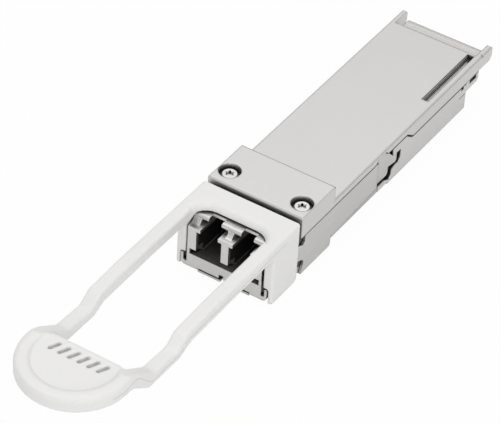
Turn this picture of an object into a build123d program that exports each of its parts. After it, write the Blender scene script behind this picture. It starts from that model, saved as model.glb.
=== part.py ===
from build123d import *
import math
import os

# Optical transceiver module with a duplex LC front end and a pull-tab release.
# Working frame while drawing: X across, Y along the module (the pull tab at -Y,
# the electrical edge at +Y), Z up. Y = 0 is the hard-stop shoulder behind the
# screw block, Z = 0 is the top face of the body. put() moves every piece to the
# row frame, whose origin is the bottom centre of the whole module.

# ---------------------------------------------------------------- driving sizes
BODY_W = 18.35        # body width
BODY_H = 8.5          # body height
BODY_L = 52.4         # shoulder to the tips of the rear ears
NOSE_L = 18.65        # shoulder to the connector face
BLOCK_L = 10.1        # screw block, ahead of the shoulder
BLOCK_RISE = 2.96     # screw block above the body top
NOSE_DROP = 1.2       # slider sheet's underside below the body bottom
BAND_DROP = 0.85      # nose band's underside below the body bottom
SEAM_FRONT = 1.4      # seam below the top face, front run
SEAM_REAR = 2.87      # seam below the top face, rear run
SEAM_Y0, SEAM_Y1 = 23.5, 25.6
ROOF_T = 1.2          # top shell roof
EAR_T = 0.95
EAR_H = 2.7
SHEET_T = 0.45        # stamped release slider
TRAVEL = 2.0          # release stroke
LC_PITCH = 6.25       # duplex LC pitch
LC_AXIS = 4.25        # optical axis below the top face
PORT_W = 4.87
CAP_Z = 0.85          # top of the ledges beside the latch slots
CAP_T = 0.7
LATCH_SLOT_W = 3.45   # opening between the ledges
FERRULE_D = 1.25
BARREL_D = 2.9
BORE_L = 4.5
CBORE_D, CBORE_DEPTH = 3.9, 1.5
HEAD_D, HEAD_H = 2.8, 0.9
SHANK_D = 2.0
FIT = 0.03            # running clearance on a radius
GAP = 0.075           # gap between the slider and the shell it wraps
KEY_SLOT_L, KEY_SLOT_W = 15.9, 1.3
FAR = 20.0            # reach of a cut that runs out of the part
PCB_T, PCB_TOP = 1.0, 3.2
PAD_PITCH = 0.8       # pitch of the edge contacts
ARM_W = 2.5           # pull tab's arm, across
TAB_TOP = 2.6         # top of the bracket and of the arms beside it
TAB_REACH = 41.25     # connector face to the centre of the round head
RIM_W = 2.57          # rim of the round head, across
HEAD_Z0, HEAD_Z1 = 1.9, 4.95
LEG_T = 1.85
PACKAGE_W = 5.9       # optical packages
DSP_Y, DSP_W, DSP_L, DSP_H = 28.0, 8.0, 9.0, 1.3

# ---------------------------------------------------------------- sizes that follow
HALF = BODY_W / 2
NOSE_BOTTOM = BODY_H + NOSE_DROP
BAND_BOTTOM = BODY_H + BAND_DROP
NOSE_FLOOR = NOSE_BOTTOM - SHEET_T - GAP   # shell's underside above the slider's sheet
WALL_C = LC_PITCH - PORT_W                 # centre wall between the ports
# across
BLOCK_W = BODY_W + 0.05
TAB_OUT = HALF + 0.225                     # outer half width of the pull tab
HEAD_R = TAB_OUT + 0.15                    # outer radius of the round head
DISC_R = HEAD_R - RIM_W                    # radius of the thin disc inside its rim
HOOK_OUT = HALF - 0.805                    # outer side of the two lower hooks
NOSE_HALF = HALF - 1.925                   # half width of the connector face
CHEEK_IN = NOSE_HALF - 0.63                # inner face of the connector's cheeks
REBATE_X = CHEEK_IN + 0.1                  # half width of the rebate behind the connector
SCREW_X = HALF - 2.125
BAY_X = LC_PITCH / 2 + 1.875               # optics bay between the screw bosses
BAY_WIDE = (LC_PITCH + PACKAGE_W) / 2 + 0.425    # optics bay behind the bosses
BOT_CAV = HALF - 2.175                     # bay of the lower shell
TOP_CAV = HALF - 1.575                     # bay of the top shell
PADDLE_W = BODY_W - 1.95                   # board edge between the rails
PAD_N = int((PADDLE_W - 1.0) / PAD_PITCH)
SLOT_X = HALF - 2.375                      # inner side of the keying slot
ARM_RECESS = HALF - SHEET_T - GAP          # face the slider's arms run on
TONGUE_X = ARM_RECESS - 0.29               # inner face of the slider's tongues
SPRING_X = ARM_RECESS - 0.63
# up and down
PORT_FLOOR = LC_AXIS + 2.35                # port floor below the top face
POST_FOOT = PORT_FLOOR - 1.1               # foot of the connector's posts
FLOOR_Z = -BODY_H + 1.1                    # inside of the tub's floor
OPTICS_FLOOR_Z = -BODY_H + 0.9             # inside of the floor under the optics
PACKAGE_H = BODY_H - 3.5
HOOK_TOP = -BODY_H + 1.55
TONGUE_Z0, TONGUE_Z1 = -LC_AXIS - 2.2, -LC_AXIS + 1.0
SPRING_Z = -LC_AXIS - 0.85
RAIL_Z = -PCB_TOP - PCB_T - 0.7            # underside of the lower shell's side rails
LEG_BOTTOM = NOSE_BOTTOM - 0.1
# along, behind the shoulder
ROOF_END = BODY_L - 4.4                    # end of the flat top
LIP_END = BODY_L - 2.1                     # end of the rear lip
EAR_Y0 = BODY_L - 5.2
BOTTOM_END = BODY_L - 8.6                  # rear end of the lower shell's tub
RAIL_END = BODY_L - 4.16                   # rear end of the lower shell's side rails
# along, ahead of the shoulder
SCREW_Y = -BLOCK_L + 3.2
BAY_Y0 = -BLOCK_L + 1.7
REBATE_Y = -BLOCK_L + 1.85
LINER_BACK = -BLOCK_L + 0.8
LINER_END = -BLOCK_L + 1.8
FLANGE_Y = -BLOCK_L + 2.35                 # front face of the barrels' flanges
PACKAGE_Y = -BLOCK_L + 4.9                 # front face of the optical packages
BARREL_Y = -NOSE_L + 6.65                  # mouth of the ferrule bore
SLIDER_FRONT = -BLOCK_L + 0.9              # front edge of the slider's wrapped sheet
BRACKET_Y1 = -BLOCK_L - 0.9                # rear face of the bracket and its legs
BRACKET_Y0 = BRACKET_Y1 - 4.4              # rear edge of the loop's opening
LEG_FRONT = -NOSE_L + 0.05
HEAD_Y = -NOSE_L - TAB_REACH               # centre of the round head

Y_SHIFT = -(BODY_L + HEAD_Y - HEAD_R) / 2
Z_SHIFT = NOSE_BOTTOM
NODES = {}


def put(name, shape):
    NODES[name] = Pos(0, Y_SHIFT, Z_SHIFT) * shape


def box(x0, x1, y0, y1, z0, z1):
    return Pos((x0 + x1) / 2, (y0 + y1) / 2, (z0 + z1) / 2) * Box(
        x1 - x0, y1 - y0, z1 - z0
    )


def pair(x0, x1, y0, y1, z0, z1):
    """The same box on both sides of the middle plane."""
    return box(x0, x1, y0, y1, z0, z1) + box(-x1, -x0, y0, y1, z0, z1)


def side_prism(points, x0, x1):
    """A (y, z) outline pushed along X from x0 to x1."""
    face = make_face(Plane.YZ * Polyline(*points, close=True))
    return Pos(x0, 0, 0) * extrude(face, x1 - x0, dir=(1, 0, 0))


def plan_prism(points, z0, z1):
    """An (x, y) outline pushed along Z from z0 to z1."""
    face = make_face(Polyline(*points, close=True))
    return Pos(0, 0, z0) * extrude(face, z1 - z0, dir=(0, 0, 1))


def rod_y(x, z, d, y0, y1):
    """A round bar along Y."""
    return Pos(x, (y0 + y1) / 2, z) * Rot(90, 0, 0) * Cylinder(d / 2, y1 - y0)


def rod_z(x, y, d, z0, z1):
    return Pos(x, y, (z0 + z1) / 2) * Cylinder(d / 2, z1 - z0)


def both(shape):
    return shape + mirror(shape, Plane.YZ)


def edges_along_y(shape, x, z):
    """The edges along Y that lie at x and z."""
    near = shape.edges().filter_by(Axis.Y).filter_by_position(Axis.Z, z - 0.01, z + 0.01)
    return near.filter_by_position(Axis.X, x - 0.01, x + 0.01)


def soft_prism(corners, x0, x1):
    """A (y, z, radius) outline with rounded corners pushed along X from x0 to x1."""
    outline = make_face(Polyline(*[(y, z) for y, z, r in corners], close=True))
    for y, z, r in corners:
        if r:
            outline = fillet(outline.vertices().sort_by_distance((y, z, 0))[0], r)
    return Pos(x0, 0, 0) * extrude(Plane.YZ * outline, x1 - x0, dir=(1, 0, 0))


# ---------------------------------------------------------------- latch geometry
# The arm's rear plate is set inwards from the arm and its finger flares out again.
SEAM_GAP = 0.12
STEP_GAP = 0.27                # wider gap where the seam steps down
PLATE_X0 = HALF - 0.755
PLATE_X1 = PLATE_X0 + 0.42
PLATE_TOP = -0.72
BEND_Y = 14.2                  # rear end of the flush part of the arm
FINGER_Z0, FINGER_Z1 = -BODY_H + 3.55, -SEAM_FRONT - 1.75
PLATE_Y = BEND_Y + 3.95        # rear edge of the plate
FINGER_Y = PLATE_Y + 2.3       # tip of the finger
POCKET_X = ARM_RECESS - 0.7    # floor of the latch window

# ---------------------------------------------------------------- top shell
# Roof, side walls down to the seam, rear ears, screw block over the optics.
TOP_BEVEL = 0.25


def outer_top_edges(body):
    """Long roof edges at the outer sides."""
    edges = body.edges().filter_by(Axis.Y).filter_by_position(Axis.Z, -0.01, 0.01)
    return [e for e in edges if abs(e.center().X) > HALF - 0.01]


def top_shell():
    side = [
        (0, 0), (ROOF_END, 0), (ROOF_END + 0.25, -0.16), (LIP_END, -0.22),
        (LIP_END, -ROOF_T), (EAR_Y0, -ROOF_T),
        (EAR_Y0, -EAR_H), (BOTTOM_END - 0.6, -SEAM_REAR), (SEAM_Y1, -SEAM_REAR),
        (SEAM_Y0, -SEAM_FRONT), (0, -SEAM_FRONT),
    ]
    body = side_prism(side, -HALF, HALF)
    body = chamfer(outer_top_edges(body), TOP_BEVEL)
    ear = side_prism(
        [(ROOF_END - 0.5, 0), (BODY_L - 0.35, 0), (BODY_L, -0.35), (BODY_L, -2.0),
         (BODY_L - 0.6, -EAR_H), (EAR_Y0, -EAR_H), (EAR_Y0, -1.0)],
        HALF - EAR_T, HALF,
    )
    ear = chamfer(outer_top_edges(ear), TOP_BEVEL)
    body += both(ear)
    # interior: a wide bay for the board, ribs left at both sides
    body -= box(-TOP_CAV, TOP_CAV, 0, BODY_L, -6, -ROOF_T)
    slot_end = ROOF_END - 0.2
    slot_start = slot_end - KEY_SLOT_L
    body += pair(SLOT_X - 0.6, TOP_CAV + 0.01, slot_start - 0.9, ROOF_END + 0.2, -2.0, -ROOF_T)
    # open mouth over the contact edge
    body -= box(-(HALF - EAR_T), HALF - EAR_T, EAR_Y0, BODY_L + 1, -6, -2.0)
    # screw block
    block = box(-BLOCK_W / 2, BLOCK_W / 2, -BLOCK_L, 0, -SEAM_FRONT, BLOCK_RISE)
    edges = block.edges().filter_by(Axis.X).sort_by(Axis.Z)[-2:].sort_by(Axis.Y)
    block = chamfer(edges[0:1], 0.3)
    edges = block.edges().filter_by(Axis.X).sort_by(Axis.Z)[-2:].sort_by(Axis.Y)
    block = chamfer(edges[1:2], 0.15)
    block = chamfer(block.edges().filter_by(Axis.Y).sort_by(Axis.Z)[-2:], 0.12)
    body += block
    # optics bay inside the block, narrower between the screw bosses
    wide_y = SCREW_Y + CBORE_D / 2 + 0.35
    body -= box(-BAY_X, BAY_X, BAY_Y0, wide_y + 0.01, -6, 1.3)
    body -= box(-BAY_WIDE, BAY_WIDE, PACKAGE_Y - 0.1, BOARD_Y0 - 1.2, -6, -ROOF_T)
    body -= box(-BAY_WIDE, BAY_WIDE, wide_y, -1.2, -6, 1.3)
    # front rebate that receives the connector moulding
    body -= box(-REBATE_X, REBATE_X, -BLOCK_L - 1, REBATE_Y, -6, 0.4)
    # counterbores, broken at the rim, and clearance holes for the case screws
    for s in (-1, 1):
        body -= rod_z(s * SCREW_X, SCREW_Y, CBORE_D, BLOCK_RISE - CBORE_DEPTH, BLOCK_RISE + 1)
        body -= Pos(s * SCREW_X, SCREW_Y, BLOCK_RISE) * Cone(CBORE_D / 2 - 0.1, CBORE_D / 2 + 0.1, 0.2)
        body -= rod_z(s * SCREW_X, SCREW_Y, SHANK_D + 2 * FIT, -6, BLOCK_RISE)
    # keying slot with the deeper square pocket at its rear end
    body -= box(SLOT_X, SLOT_X + KEY_SLOT_W, slot_start, slot_end, -1.0, 1)
    body -= box(SLOT_X + 0.45, SLOT_X + KEY_SLOT_W, slot_end - 0.9, slot_end, -1.9, 1)
    # relief beside the left ear, and the small round nick on the right ear
    body -= box(-(HALF - EAR_T), -SLOT_X, ROOF_END + 0.1, BODY_L + 1, -2.5, 1)
    body -= rod_z(HALF + 0.08, BODY_L - 3.3, 0.9, -0.45, 0.5)
    # relief for the latch plate's top edge and its hidden run ahead of the relief
    for s in (-1, 1):
        cut = side_prism(
            [(BEND_Y - 0.9, -3), (BEND_Y - 0.9, -SEAM_FRONT), (BEND_Y - 0.2, PLATE_TOP + 0.1),
             (PLATE_Y - 1.55, PLATE_TOP + 0.1), (PLATE_Y - 0.75, -SEAM_FRONT), (PLATE_Y - 0.75, -3)],
            POCKET_X, HALF + 1,
        )
        cut += box(PLATE_X0 - 0.06, PLATE_X1 + 0.06, BEND_Y - TRAVEL, BEND_Y, -3, PLATE_TOP + 0.1)
        body -= cut if s > 0 else mirror(cut, Plane.YZ)
    return body


# ---------------------------------------------------------------- lower shell
STRIP_HALF = 5.0               # half width of the slider's front strip
SPRING_Y0 = 2.0                # fixed end of the return springs
BOARD_Y0, BOARD_Y1 = 9.4, BODY_L - 1.5


def bottom_shell():
    side = [
        (-BLOCK_L, -SEAM_FRONT - SEAM_GAP), (SEAM_Y0 - STEP_GAP, -SEAM_FRONT - SEAM_GAP),
        (SEAM_Y1 - STEP_GAP, -SEAM_REAR - SEAM_GAP), (RAIL_END, -SEAM_REAR - SEAM_GAP),
        (RAIL_END, RAIL_Z + 0.6), (RAIL_END - 0.5, RAIL_Z), (BOTTOM_END, RAIL_Z), (BOTTOM_END, -BODY_H),
        (0, -BODY_H), (0, -NOSE_FLOOR), (-BLOCK_L, -NOSE_FLOOR),
    ]
    body = side_prism(side, -HALF, HALF)
    # bottom edge rounding, ahead of the latch window only
    tub_edges = (
        body.edges().filter_by(Axis.Y)
        .filter_by_position(Axis.Z, -BODY_H - 0.01, -BODY_H + 0.01)
    )
    body = chamfer(tub_edges, 0.25)
    # interior
    body -= box(-BOT_CAV, BOT_CAV, 6.0, BOTTOM_END - 0.9, FLOOR_Z, 0)
    body -= box(-BAY_WIDE + 0.1, BAY_WIDE - 0.1, PACKAGE_Y - 0.1, 6.1, OPTICS_FLOOR_Z, 0)
    body -= box(-BAY_X, BAY_X, BAY_Y0, PACKAGE_Y, OPTICS_FLOOR_Z, 0)
    body -= box(-REBATE_X, REBATE_X, -BLOCK_L - 1, REBATE_Y, -PORT_FLOOR, 0)
    # bay under the board is closed at the rear by a low wall; the rails flank the board
    body -= box(-BOT_CAV, BOT_CAV, BOTTOM_END - 1.0, BODY_L, RAIL_Z + 0.6, 0)
    body -= box(-(HALF - 0.875), HALF - 0.875, BOTTOM_END, BODY_L, -FAR, 0)
    # seats for the slider's arms, side panels and bottom panel
    for s in (-1, 1):
        front = -BLOCK_L - 1
        seat = box(ARM_RECESS, HALF + 1, front, 0, -FAR, 0)
        seat += box(TONGUE_X - 0.08, HALF + 1, front, SLIDER_FRONT + 0.3, TONGUE_Z0 - 0.15, TONGUE_Z1 + 0.15)
        seat += side_prism(
            [(-0.1, 0), (BEND_Y + 0.4, 0), (BEND_Y + 0.4, -BODY_H + 1.4), (-0.1, -BODY_H + 0.9)],
            ARM_RECESS, HALF + 1,
        )
        # the strip under the arm stands a little inside the arm's face, bevelled below
        strip = box(HALF - 0.1, HALF + 1, -0.1, BEND_Y + 0.4, -BODY_H - 0.5, -BODY_H + 1.5)
        bevel = Pos(HALF, 8.9, -BODY_H) * Rot(0, 45, 0) * Box(0.8, 18.0, 0.8)
        # side window round the latch plate and its finger
        window = side_prism(
            [(BEND_Y - TRAVEL - 0.6, 0), (PLATE_Y + 0.75, 0), (PLATE_Y + 0.8, -SEAM_FRONT),
             (PLATE_Y + 1.05, FINGER_Z1 + 0.1), (FINGER_Y + 1.15, FINGER_Z1 + 0.05),
             (FINGER_Y + 1.3, FINGER_Z1 - 0.45), (FINGER_Y + 1.2, FINGER_Z0 - 0.05),
             (FINGER_Y + 0.75, FINGER_Z0 - 0.65), (FINGER_Y - 0.47, FINGER_Z0 - 0.65),
             (PLATE_Y + 0.8, -BODY_H + 2.45), (PLATE_Y + 0.69, -BODY_H + 1.4),
             (PLATE_Y + 0.15, -BODY_H + 0.85), (PLATE_Y - 1.45, -BODY_H + 1.55),
             (BEND_Y - TRAVEL - 0.6, -BODY_H + 1.55)],
            POCKET_X, HALF + 1,
        )
        window += box(POCKET_X - 0.5, POCKET_X + 0.1, BEND_Y, PLATE_Y + 0.25, -BODY_H + 1.2, -BODY_H + 1.6)
        # spring pocket, open to the arm's inner face
        pocket = box(SPRING_X - 0.6, HALF + 1, SPRING_Y0, SPRING_Y0 + 7.7, SPRING_Z - 0.65, SPRING_Z + 0.65)
        cut = seat + strip + window + pocket + bevel
        body -= cut if s > 0 else mirror(cut, Plane.YZ)
    # thin slit and the two small notches near the rear of the side wall
    for s in (-1, 1):
        slit = box(HALF - 0.575, HALF + 1, BOTTOM_END - 1.8, BOTTOM_END - 0.9, -3.6, -2.5)
        slit += box(HALF - 0.475, HALF + 1, BOTTOM_END - 2.2, BOTTOM_END + 1, RAIL_Z - 0.22, RAIL_Z - 0.08)
        slit += box(HALF - 0.625, HALF + 1, RAIL_END - 3.14, RAIL_END - 0.74, -3.95, -3.05)
        body -= slit if s > 0 else mirror(slit, Plane.YZ)
    # rails stand inside the ears' outer face
    body -= pair(HALF - 0.1, HALF + 1, BOTTOM_END, BODY_L, -6, 0)
    # nose: the floor under the connector, the front band and its two lower hooks
    nose = box(-NOSE_HALF, NOSE_HALF, -NOSE_L, -BLOCK_L, -BAND_BOTTOM, -PORT_FLOOR)
    horn = pair(NOSE_HALF - 0.5, NOSE_HALF, -NOSE_L, -NOSE_L + 1.6, -PORT_FLOOR, -POST_FOOT)
    nose += horn + both(nose_hook())
    nose -= box(-STRIP_HALF - 0.1, STRIP_HALF + 0.1, -NOSE_L - 1, -BLOCK_L + 1, -FAR, -BAND_BOTTOM + 0.35)
    nose -= box(-FAR, FAR, -NOSE_L + 3.0, -BLOCK_L + 1, -FAR, -NOSE_FLOOR)
    nose -= box(-0.9, 0.0, -NOSE_L - 1, -NOSE_L + 1.2, -FAR, -BAND_BOTTOM + 1.1)
    body += nose
    # screw bosses' tapped holes
    for s in (-1, 1):
        body -= rod_z(s * SCREW_X, SCREW_Y, SHANK_D + 2 * FIT, OPTICS_FLOOR_Z + 0.3, 0)
    # board rests and the saddle that carries the optics
    for y in (BOARD_Y0 + 0.6, BOTTOM_END - 9.8):
        body += pair(BOT_CAV - 1.1, BOT_CAV + 0.01, y, y + 2.0, FLOOR_Z - 0.01, -PCB_TOP - PCB_T)
    return body


def nose_hook():
    """J-shaped hook beside the front band that steadies the pull tab's leg."""
    outer = make_face(
        Plane.XZ * Polyline(
            (NOSE_HALF - 0.3, -BAND_BOTTOM), (HOOK_OUT, -BAND_BOTTOM), (HOOK_OUT, HOOK_TOP),
            (HOOK_OUT - 0.45, HOOK_TOP), (HOOK_OUT - 0.45, -BAND_BOTTOM + 0.8),
            (NOSE_HALF - 0.3, -BAND_BOTTOM + 0.8), close=True,
        )
    )
    hook = Pos(0, -NOSE_L, 0) * extrude(outer, 1.0, dir=(0, 1, 0))
    hook = fillet(edges_along_y(hook, HOOK_OUT, -BAND_BOTTOM), 0.8)
    return fillet(edges_along_y(hook, HOOK_OUT - 0.45, -BAND_BOTTOM + 0.8), 0.35)


# ---------------------------------------------------------------- connector face
# Metal posts, caps and latch bars of the duplex LC opening.
BAR_Z0, BAR_Z1 = -0.1, 0.85
BAR_Y0, BAR_Y1 = -NOSE_L + 1.7, -NOSE_L + 3.15
BAR_HALF = 1.9
POST_T = 0.55
SCALLOP_R = 0.8
ROOF_PLATE_T = 0.5
PORT_OUT = LC_PITCH / 2 + PORT_W / 2       # outer edge of a port
LEDGE_IN = (LC_PITCH - LATCH_SLOT_W) / 2   # half width of the centre ledge
LEDGE_OUT = (LC_PITCH + LATCH_SLOT_W) / 2  # inner edge of a side ledge
GUSSET_Y = -NOSE_L + 2.05                  # rear edge of the foot gussets
GUSSET_Z = -POST_FOOT + 0.4


def latch_stem(x0, x1):
    """Curved front that leads from the ledge up and back to the latch bar."""
    top = (BAR_Y0 + 0.1, BAR_Z0 + 0.3)
    foot = (-NOSE_L + 0.75, -CAP_Z - 0.01)
    front = Plane.YZ * ThreePointArc(foot, (foot[0] + 0.72, foot[1] + 0.42), top)
    back = Plane.YZ * Polyline(top, (BAR_Y1, BAR_Z0 + 0.3), (BAR_Y1, -CAP_Z - 0.01), foot)
    face = make_face(front.edges() + back.edges())
    return Pos(x0, 0, 0) * extrude(face, x1 - x0, dir=(1, 0, 0))


def latch_bar(x0, x1):
    """Cross bar with a rounded front."""
    bar = box(x0, x1, BAR_Y0, BAR_Y1, BAR_Z0, BAR_Z1)
    fronts = bar.edges().filter_by(Axis.X).sort_by(Axis.Y)[0:2]
    return fillet(fronts, 0.44)


def lc_face():
    c = WALL_C / 2
    y0 = -NOSE_L
    edge = NOSE_HALF - 0.05
    # posts and ledges
    body = box(-c, c, y0, y0 + POST_T, -POST_FOOT, -CAP_Z)
    body += pair(PORT_OUT, edge, y0, y0 + POST_T, -POST_FOOT, -CAP_Z)
    body += box(-LEDGE_IN, LEDGE_IN, y0, LINER_BACK - 0.2, -CAP_Z - CAP_T, -CAP_Z)
    body += pair(LEDGE_OUT, CHEEK_IN, y0, LINER_BACK - 0.2, -CAP_Z - CAP_T, -CAP_Z)
    body += pair(CHEEK_IN - 0.01, edge, y0, -BLOCK_L - 0.1, -CAP_Z - CAP_T, -CAP_Z)
    # stems, bitten round on both sides of each latch slot
    stems = latch_stem(-LEDGE_IN, LEDGE_IN) + latch_stem(LEDGE_OUT, edge) + latch_stem(-edge, -LEDGE_OUT)
    bite_z = (BAR_Z0 + 0.1 - CAP_Z) / 2
    for s in (-1, 1):
        for x in (LEDGE_IN - 0.08, LEDGE_OUT + 0.08):
            stems -= rod_y(s * x, bite_z, 2 * SCALLOP_R, y0, BAR_Y1 + 1)
    body += stems
    inner = LC_PITCH - BAR_HALF
    body += latch_bar(-BAR_HALF, BAR_HALF) + latch_bar(inner, edge) + latch_bar(-edge, -inner)
    # roof plate, and the outer cheeks back to the block
    body += box(-edge, edge, BAR_Y1 - 0.01, -BLOCK_L - 0.1, BAR_Z1 - ROOF_PLATE_T, BAR_Z1)
    body += pair(CHEEK_IN, edge, y0 + POST_T - 0.01, -BLOCK_L - 0.1, -POST_FOOT, -CAP_Z)
    body += pair(CHEEK_IN, edge, BAR_Y1 - 0.01, -BLOCK_L - 0.1, -CAP_Z - 0.01, BAR_Z1)
    body += pair(CHEEK_IN, edge, y0 + 1.65, -BLOCK_L - 0.1, -PORT_FLOOR, -POST_FOOT + 0.01)
    # gussets at the wall feet
    gusset = [
        (y0 + POST_T - 0.1, GUSSET_Z), (GUSSET_Y, GUSSET_Z), (GUSSET_Y, -PORT_FLOOR + 0.05),
        (y0 + POST_T - 0.1, GUSSET_Z - 0.3),
    ]
    body += side_prism(gusset, -c, c)
    body += both(side_prism(gusset, PORT_OUT, CHEEK_IN + 0.01))
    return body


# black moulding that lines both ports and carries the barrels
def port_liner():
    x = CHEEK_IN - 0.02
    y0 = -NOSE_L + POST_T + 0.02
    low, mid, high = -PORT_FLOOR + 0.02, -CAP_Z - CAP_T - 0.02, BAR_Z1 - ROOF_PLATE_T - 0.02
    body = box(-x, x, y0, LINER_END, low, mid)
    back = box(-x, x, LINER_BACK, LINER_END, low, high)
    body += back
    body += pair(PORT_OUT + 0.05, x, BAR_Y1 + 0.02, LINER_END, -CAP_Z + 0.02, high)
    body -= pair(LEDGE_OUT - 0.1, x + 1, y0 - 1, LINER_BACK - 0.15, mid, -CAP_Z + 0.02)
    for s in (-1, 1):
        a = LC_PITCH / 2 * s
        body -= box(a - PORT_W / 2, a + PORT_W / 2, y0 - 1, LINER_BACK, low - 1, high + 1)
        body -= rod_y(a, -LC_AXIS, BARREL_D + 2 * FIT, LINER_BACK - 1, LINER_END + 1)
    # the walls stop short of the gussets at their feet
    body -= box(-x - 1, x + 1, y0 - 1, GUSSET_Y + 0.02, low - 1, GUSSET_Z + 0.02)
    return body


def barrel(s):
    a = LC_PITCH / 2 * s
    b = rod_y(a, -LC_AXIS, BARREL_D, BARREL_Y, FLANGE_Y + 0.05)
    b = chamfer(b.edges().filter_by(GeomType.CIRCLE).sort_by(Axis.Y)[0:1], 0.2)
    b += rod_y(a, -LC_AXIS, BARREL_D + 0.8, FLANGE_Y - 0.05, FLANGE_Y + 0.85)
    b -= rod_y(a, -LC_AXIS, FERRULE_D + 0.004, BARREL_Y - 1, BARREL_Y + BORE_L)
    return b


def emi_gasket():
    g = box(-BAY_X + 0.1, BAY_X - 0.1, REBATE_Y, REBATE_Y + 0.4, OPTICS_FLOOR_Z + 0.1, 1.2)
    for s in (-1, 1):
        g -= rod_y(s * LC_PITCH / 2, -LC_AXIS, BARREL_D + 0.3, REBATE_Y - 1, REBATE_Y + 1)
    return g


def optics_clamp():
    y0, y1 = PACKAGE_Y - 1.65, PACKAGE_Y - 0.4
    c = box(-BAY_X + 0.1, BAY_X - 0.1, y0, y1, OPTICS_FLOOR_Z + 0.05, 1.2)
    for s in (-1, 1):
        a = s * LC_PITCH / 2
        c -= rod_y(a, -LC_AXIS, 3.3, y0 - 1, y1 + 1)
        c -= box(a - 1.65, a + 1.65, y0 - 1, y1 + 1, -LC_AXIS, 2)
    c += box(-BAY_X + 0.1, BAY_X - 0.1, y0, y1, 0.2, 1.2)
    return c


def optical_package(s, length):
    """Hermetic box with a round snout that butts on the barrel's flange."""
    a = s * LC_PITCH / 2
    y0 = PACKAGE_Y
    w, lid = PACKAGE_W / 2, -LC_AXIS + PACKAGE_H / 2
    p = box(a - w, a + w, y0, y0 + length, lid - PACKAGE_H, lid)
    p = fillet(p.edges().filter_by(Axis.Y), 0.4)
    p += box(a - w + 0.25, a + w - 0.25, y0 + 0.6, y0 + length - 0.6, lid - 0.01, lid + 0.15)
    p += rod_y(a, -LC_AXIS, 3.1, FLANGE_Y + 0.9, y0 + 0.01)
    # ceramic shelf with the flex solder line
    p += box(a - w + 0.75, a + w - 0.75, y0 + length - 0.01, y0 + length + 0.8, -LC_AXIS - 0.5, -LC_AXIS)
    return p


def flex(s, length):
    a = s * LC_PITCH / 2
    y0 = PACKAGE_Y + length
    z0, z1 = -LC_AXIS + 0.005, -PCB_TOP + 0.005
    t = 0.12
    path = [
        (y0 + 0.05, z0), (y0 + 1.3, z0), (BOARD_Y0 - 0.3, z1), (BOARD_Y0 + 3.0, z1),
        (BOARD_Y0 + 3.0, z1 + t), (BOARD_Y0 - 0.4, z1 + t), (y0 + 1.2, z0 + t), (y0 + 0.05, z0 + t),
    ]
    return side_prism(path, a - 1.9, a + 1.9)


# ---------------------------------------------------------------- board
def main_pcb():
    z1, z0 = -PCB_TOP, -PCB_TOP - PCB_T
    narrow, wide, step = BOT_CAV - 0.1, PADDLE_W / 2, BOTTOM_END + 0.4
    outline = [
        (-narrow, BOARD_Y0), (narrow, BOARD_Y0), (narrow, step), (wide, step),
        (wide, BOARD_Y1 - 0.8), (wide - 0.8, BOARD_Y1),
        (-wide + 0.8, BOARD_Y1), (-wide, BOARD_Y1 - 0.8),
        (-wide, step), (-narrow, step),
    ]
    return plan_prism(outline, z0, z1)


def contacts(top):
    z = -PCB_TOP if top else -PCB_TOP - PCB_T - 0.05
    pads = []
    for i in range(PAD_N):
        x = (i - (PAD_N - 1) / 2) * PAD_PITCH
        long = 1.9 if i % 3 == 0 else 1.5
        pads.append(box(x - 0.27, x + 0.27, BOARD_Y1 - 0.6 - long, BOARD_Y1 - 0.6, z, z + 0.05))
    return Compound(children=[p for p in pads])


def chip(x, y, w, l, h, top=True, balls=0.0):
    if top:
        return box(x - w / 2, x + w / 2, y - l / 2, y + l / 2, -PCB_TOP + balls, -PCB_TOP + h)
    zb = -PCB_TOP - PCB_T
    return box(x - w / 2, x + w / 2, y - l / 2, y + l / 2, zb - h, zb - balls)


def passives():
    parts = []
    for i in range(6):
        for x in (1.6 - BOT_CAV, BOT_CAV - 1.6):
            parts.append(chip(x, 22.5 + 2.2 * i, 0.5, 1.0, 0.5))
    for i in range(5):
        parts.append(chip(-4.0 + 2.0 * i, 40.5, 1.0, 0.5, 0.5))
    return Compound(children=parts)


def thermal_pad_dsp():
    """Gap filler between the largest chip and the roof."""
    w, l = DSP_W / 2 - 0.4, DSP_L / 2 - 0.4
    return box(-w, w, DSP_Y - l, DSP_Y + l, -PCB_TOP + DSP_H, -ROOF_T)


def optics_thermal_pads():
    """Gap fillers between the optical packages and the floor."""
    x, w = LC_PITCH / 2, PACKAGE_W / 2 - 0.55
    y0 = PACKAGE_Y + 0.8
    return pair(x - w, x + w, y0, y0 + 7.4, OPTICS_FLOOR_Z, -LC_AXIS - PACKAGE_H / 2)


def case_screw():
    """Pan head on the counterbore's floor, with a six-lobed socket."""
    seat = BLOCK_RISE - CBORE_DEPTH
    top = seat + HEAD_H
    s = rod_z(0, 0, HEAD_D, seat, top)
    s = chamfer(s.edges().filter_by(GeomType.CIRCLE).sort_by(Axis.Z)[-1:], 0.18)
    s += rod_z(0, 0, SHANK_D, OPTICS_FLOOR_Z + 0.6, seat + 0.01)
    socket = []
    for k in range(18):
        turn = math.pi * k / 9
        r = 0.7 + 0.165 * math.cos(6 * turn)
        socket.append((r * math.cos(turn), r * math.sin(turn)))
    return s - plan_prism(socket, top - 0.45, top + 1)


def spring(s):
    """Compression spring between the pocket's front wall and the slider's tab."""
    y0, y1 = SPRING_Y0 + 0.02, SPRING_Y0 + 6.98
    r, wire, turns, steps = 0.42, 0.11, 6, 10
    rise = (y1 - y0 - 2 * wire) / turns
    points = []
    for k in range(turns * steps + 1):
        angle = 2 * math.pi * k / steps
        points.append((r * math.cos(angle), r * math.sin(angle), rise * k / steps))
    coil = Polyline(*points)
    section = Plane(origin=coil @ 0, z_dir=coil % 0) * RegularPolygon(wire, 4)
    body = sweep(section, path=coil, transition=Transition.RIGHT)
    return Pos(s * SPRING_X, y0 + wire, SPRING_Z) * Rot(-90, 0, 0) * body


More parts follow.
